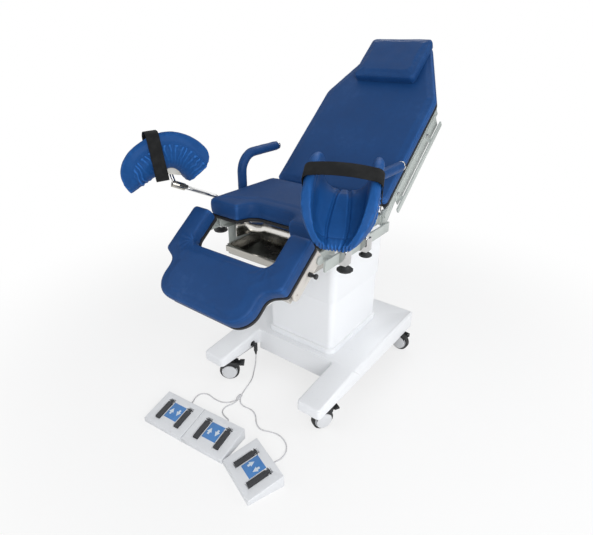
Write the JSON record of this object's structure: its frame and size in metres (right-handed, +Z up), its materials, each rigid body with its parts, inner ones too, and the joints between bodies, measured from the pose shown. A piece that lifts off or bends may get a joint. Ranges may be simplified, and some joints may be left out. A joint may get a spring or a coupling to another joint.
{
  "type": "gynecological examination chair",
  "caption": "Powered gynecological chair with blue upholstery on a white lift column, padded knee supports, armrests, drain tray, swing-down leg section and floor pedals",
  "frame": {"origin": "on the floor under the centre of the lift column", "axes": "+X to the right seen from the foot end, +Y towards the head end, +Z up"},
  "size_m": [1.2158, 1.66, 1.5634],
  "materials": {
    "white_cover": "satin moulded white",
    "frame_paint": "pale grey-green powder coat",
    "dark_steel": "dark grey paint",
    "stainless": "polished stainless sheet",
    "chrome": "bright plated tube",
    "blue_leather": "navy blue smooth synthetic leather",
    "black_plastic": "fine-grained black moulding",
    "grey_plastic": "light grey moulding",
    "grey_cable": "smooth grey sheath",
    "wheel_rubber": "dark tyre on a light grey hub"
  },
  "bodies": {
    "base": {"base_frame": "dark_steel", "base_cover": "white_cover", "column_cover": "white_cover", "lift_outer_tube": "dark_steel", "control_box": "black_plastic", "pedal_socket": "black_plastic", "pedal_plug": "black_plastic", "pedal_case_1": "grey_plastic", "pedal_case_2": "grey_plastic", "pedal_case_3": "grey_plastic", "pedal_cable_1": "grey_cable", "pedal_cable_2": "grey_cable", "pedal_cable_3": "grey_cable"},
    "castor_front_left": {"castor_fork_front_left": "black_plastic"},
    "wheel_front_left": {"castor_wheel_front_left": "wheel_rubber"},
    "brake_front_left": {"castor_brake_front_left": "black_plastic"},
    "castor_front_right": {"castor_fork_front_right": "black_plastic"},
    "wheel_front_right": {"castor_wheel_front_right": "wheel_rubber"},
    "brake_front_right": {"castor_brake_front_right": "black_plastic"},
    "castor_rear_left": {"castor_fork_rear_left": "black_plastic"},
    "wheel_rear_left": {"castor_wheel_rear_left": "wheel_rubber"},
    "castor_rear_right": {"castor_fork_rear_right": "black_plastic"},
    "wheel_rear_right": {"castor_wheel_rear_right": "wheel_rubber"},
    "lift": {"lift_inner_tube": "dark_steel", "upper_column_cover": "white_cover", "tilt_actuator_body": "dark_steel"},
    "seat": {"seat_frame": "frame_paint", "seat_cushion": "blue_leather", "basin_skirt": "stainless", "rail_clamps": "frame_paint", "back_actuator_body": "dark_steel"},
    "tilt_rod": {"tilt_actuator_rod": "stainless"},
    "back": {"back_frame": "frame_paint", "back_cushion": "blue_leather", "back_rails": "frame_paint"},
    "back_rod": {"back_actuator_rod": "stainless"},
    "tray": {"drain_tray": "stainless"},
    "pillow": {"head_pillow": "blue_leather"},
    "leg": {"leg_frame": "stainless", "leg_cushion": "blue_leather"},
    "leg_knob_left": {"leg_knob_left": "black_plastic"},
    "pole_left": {"support_pole_left": "chrome"},
    "pad_left": {"pad_bracket_left": "chrome", "knee_pad_left": "blue_leather"},
    "support_knob_left": {"support_knob_left": "black_plastic"},
    "armrest_left": {"armrest_left": "blue_leather"},
    "armrest_knob_left": {"armrest_knob_left": "black_plastic"},
    "leg_knob_right": {"leg_knob_right": "black_plastic"},
    "pole_right": {"support_pole_right": "chrome"},
    "pad_right": {"pad_bracket_right": "chrome", "knee_pad_right": "blue_leather"},
    "support_knob_right": {"support_knob_right": "black_plastic"},
    "armrest_right": {"armrest_right": "blue_leather"},
    "armrest_knob_right": {"armrest_knob_right": "black_plastic"},
    "pedal_1a": {"pedal_1a": "black_plastic"},
    "pedal_1b": {"pedal_1b": "black_plastic"},
    "pedal_2a": {"pedal_2a": "black_plastic"},
    "pedal_2b": {"pedal_2b": "black_plastic"},
    "pedal_3a": {"pedal_3a": "black_plastic"},
    "pedal_3b": {"pedal_3b": "black_plastic"}
  },
  "joints": [
    {"name": "swivel_front_left", "type": "hinge", "parent": "base", "child": "castor_front_left", "pos_m": [-0.287, -0.487, 0.13], "axis": [0, 0, 1], "continuous": true},
    {"name": "roll_front_left", "type": "hinge", "parent": "castor_front_left", "child": "wheel_front_left", "pos_m": [-0.25665, -0.46413, 0.05], "axis": [-0.6018, 0.7986, 0], "continuous": true},
    {"name": "brake_front_left", "type": "hinge", "parent": "castor_front_left", "child": "brake_front_left", "pos_m": [-0.2279, -0.44247, 0.095], "axis": [-0.6018, 0.7986, 0], "range_deg": [0, 12]},
    {"name": "swivel_front_right", "type": "hinge", "parent": "base", "child": "castor_front_right", "pos_m": [0.287, -0.487, 0.13], "axis": [0, 0, 1], "continuous": true},
    {"name": "roll_front_right", "type": "hinge", "parent": "castor_front_right", "child": "wheel_front_right", "pos_m": [0.30484, -0.45345, 0.05], "axis": [-0.8829, 0.4695, 0], "continuous": true},
    {"name": "brake_front_right", "type": "hinge", "parent": "castor_front_right", "child": "brake_front_right", "pos_m": [0.32174, -0.42166, 0.095], "axis": [-0.8829, 0.4695, 0], "range_deg": [0, 12]},
    {"name": "swivel_rear_left", "type": "hinge", "parent": "base", "child": "castor_rear_left", "pos_m": [-0.287, 0.3, 0.13], "axis": [0, 0, 1], "continuous": true},
    {"name": "roll_rear_left", "type": "hinge", "parent": "castor_rear_left", "child": "wheel_rear_left", "pos_m": [-0.3104, 0.32994, 0.05], "axis": [-0.788, -0.6157, 0], "continuous": true},
    {"name": "swivel_rear_right", "type": "hinge", "parent": "base", "child": "castor_rear_right", "pos_m": [0.287, 0.3, 0.13], "axis": [0, 0, 1], "continuous": true},
    {"name": "roll_rear_right", "type": "hinge", "parent": "castor_rear_right", "child": "wheel_rear_right", "pos_m": [0.32486, 0.29669, 0.05], "axis": [0.0872, 0.9962, 0], "continuous": true},
    {"name": "lift", "type": "slide", "parent": "base", "child": "lift", "axis": [0, 0, 1], "range_m": [-0.25, 0]},
    {"name": "seat_tilt", "type": "hinge", "parent": "lift", "child": "seat", "pos_m": [0, 0, 0.816], "axis": [-1, 0, 0], "range_deg": [-2, 14]},
    {"name": "tilt_rod", "type": "slide", "parent": "lift", "child": "tilt_rod", "axis": [0, 0, 1], "range_m": [-0.02, 0.05]},
    {"name": "back_hinge", "type": "hinge", "parent": "seat", "child": "back", "pos_m": [0, 0.005, 0.879], "axis": [1, 0, 0], "range_deg": [-38, 24]},
    {"name": "back_rod", "type": "slide", "parent": "seat", "child": "back_rod", "axis": [0, 1, 0], "range_m": [-0.05, 0.04]},
    {"name": "tray_slide", "type": "slide", "parent": "seat", "child": "tray", "axis": [0, 1, 0], "range_m": [-0.14, 0]},
    {"name": "pillow_slide", "type": "slide", "parent": "back", "child": "pillow", "axis": [0, 0.7593, 0.6508], "range_m": [-0.06, 0.02]},
    {"name": "leg_hinge", "type": "hinge", "parent": "seat", "child": "leg", "pos_m": [0, -0.507, 0.851], "axis": [1, 0, 0], "range_deg": [-37, 40]},
    {"name": "leg_knob_left", "type": "slide", "parent": "leg", "child": "leg_knob_left", "axis": [-1, 0, 0], "range_m": [0, 0.008], "stiffness_N_per_m": 900, "springref_m": -0.004},
    {"name": "pole_left", "type": "hinge", "parent": "seat", "child": "pole_left", "pos_m": [-0.335, -0.38, 0.85], "axis": [0, 0, -1], "range_deg": [-8, 35]},
    {"name": "pad_left", "type": "hinge", "parent": "pole_left", "child": "pad_left", "pos_m": [-0.4085, -0.5271, 1.0032], "axis": [-0.4083, -0.8172, 0.4067], "range_deg": [-20, 20]},
    {"name": "support_knob_left", "type": "hinge", "parent": "seat", "child": "support_knob_left", "pos_m": [-0.335, -0.38, 0.79], "axis": [0, 0, 1], "continuous": true},
    {"name": "armrest_left", "type": "hinge", "parent": "seat", "child": "armrest_left", "pos_m": [-0.335, -0.221, 0.85], "axis": [0, 0, 1], "range_deg": [0, 90]},
    {"name": "armrest_knob_left", "type": "hinge", "parent": "seat", "child": "armrest_knob_left", "pos_m": [-0.335, -0.221, 0.785], "axis": [0, 0, 1], "continuous": true},
    {"name": "leg_knob_right", "type": "slide", "parent": "leg", "child": "leg_knob_right", "axis": [1, 0, 0], "range_m": [0, 0.008], "stiffness_N_per_m": 900, "springref_m": -0.004},
    {"name": "pole_right", "type": "hinge", "parent": "seat", "child": "pole_right", "pos_m": [0.335, -0.38, 0.85], "axis": [0, 0, 1], "range_deg": [-8, 35]},
    {"name": "pad_right", "type": "hinge", "parent": "pole_right", "child": "pad_right", "pos_m": [0.3937, -0.4975, 0.9729], "axis": [-0.4248, 0.8504, -0.3105], "range_deg": [-20, 20]},
    {"name": "support_knob_right", "type": "hinge", "parent": "seat", "child": "support_knob_right", "pos_m": [0.335, -0.38, 0.79], "axis": [0, 0, 1], "continuous": true},
    {"name": "armrest_right", "type": "hinge", "parent": "seat", "child": "armrest_right", "pos_m": [0.335, -0.221, 0.85], "axis": [0, 0, -1], "range_deg": [0, 90]},
    {"name": "armrest_knob_right", "type": "hinge", "parent": "seat", "child": "armrest_knob_right", "pos_m": [0.335, -0.221, 0.785], "axis": [0, 0, 1], "continuous": true},
    {"name": "pedal_1a", "type": "hinge", "parent": "base", "child": "pedal_1a", "pos_m": [-0.31024, -0.78948, 0.0504], "axis": [0.9957, 0.0924, 0], "range_deg": [0, 3], "stiffness_Nm_per_rad": 3, "springref_deg": -2.86},
    {"name": "pedal_1b", "type": "hinge", "parent": "base", "child": "pedal_1b", "pos_m": [-0.19871, -0.77913, 0.0504], "axis": [0.9957, 0.0924, 0], "range_deg": [0, 3], "stiffness_Nm_per_rad": 3, "springref_deg": -2.86},
    {"name": "pedal_2a", "type": "hinge", "parent": "base", "child": "pedal_2a", "pos_m": [-0.08368, -0.76781, 0.0504], "axis": [0.9945, 0.1045, 0], "range_deg": [0, 3], "stiffness_Nm_per_rad": 3, "springref_deg": -2.86},
    {"name": "pedal_2b", "type": "hinge", "parent": "base", "child": "pedal_2b", "pos_m": [0.02771, -0.7561, 0.0504], "axis": [0.9945, 0.1045, 0], "range_deg": [0, 3], "stiffness_Nm_per_rad": 3, "springref_deg": -2.86},
    {"name": "pedal_3a", "type": "hinge", "parent": "base", "child": "pedal_3a", "pos_m": [0.18305, -0.77303, 0.0504], "axis": [0.9367, -0.3502, 0], "range_deg": [0, 3], "stiffness_Nm_per_rad": 3, "springref_deg": -2.86},
    {"name": "pedal_3b", "type": "hinge", "parent": "base", "child": "pedal_3b", "pos_m": [0.28796, -0.81225, 0.0504], "axis": [0.9367, -0.3502, 0], "range_deg": [0, 3], "stiffness_Nm_per_rad": 3, "springref_deg": -2.86}
  ],
  "couplings": [
    {"joint": "tilt_rod", "follows": "seat_tilt", "m_per_rad": 0.16},
    {"joint": "back_rod", "follows": "back_hinge", "m_per_rad": 0.0604}
  ]
}
